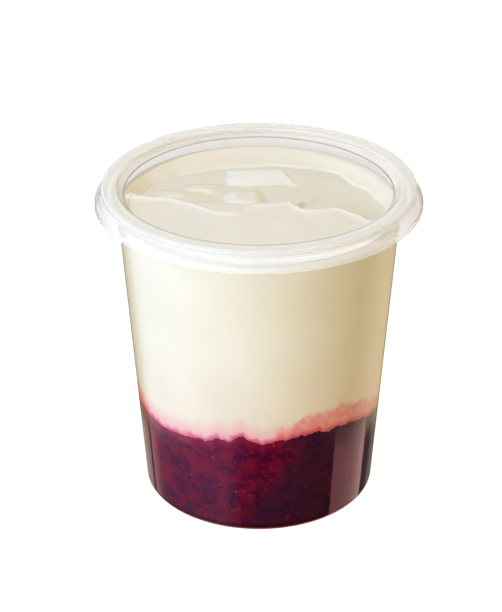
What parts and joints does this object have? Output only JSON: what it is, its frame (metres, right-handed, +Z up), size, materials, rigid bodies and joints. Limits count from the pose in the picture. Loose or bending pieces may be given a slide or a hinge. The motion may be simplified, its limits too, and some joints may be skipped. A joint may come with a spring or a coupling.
{
  "type": "clear pot of layered custard dessert",
  "caption": "Clear tapered dessert pot with a press-on lid, holding a berry layer under a spooned custard layer.",
  "frame": {"origin": "middle of the base, on the surface that the pot stands on", "axes": "+Z up along the pot's axis; -Y towards the side that is seen, with the sharp peak of the layer line; +X to the right of it"},
  "size_m": [0.101, 0.101, 0.1036],
  "materials": {
    "clear_cup": "clear thin formed plastic, glossy, faintly milky at its edges",
    "clear_lid": "clear thin formed plastic with a cloudier ring, soft gloss",
    "berry_compote": "dark berry compote, stewed fruit with pips and drupelets, wet",
    "custard_cream": "thick cream-coloured custard, smooth and moist, stained pink beside the compote"
  },
  "bodies": {
    "root": {"cup": "clear_cup", "lid": "clear_lid", "berry_layer": "berry_compote", "custard": "custard_cream"}
  },
  "joints": []
}
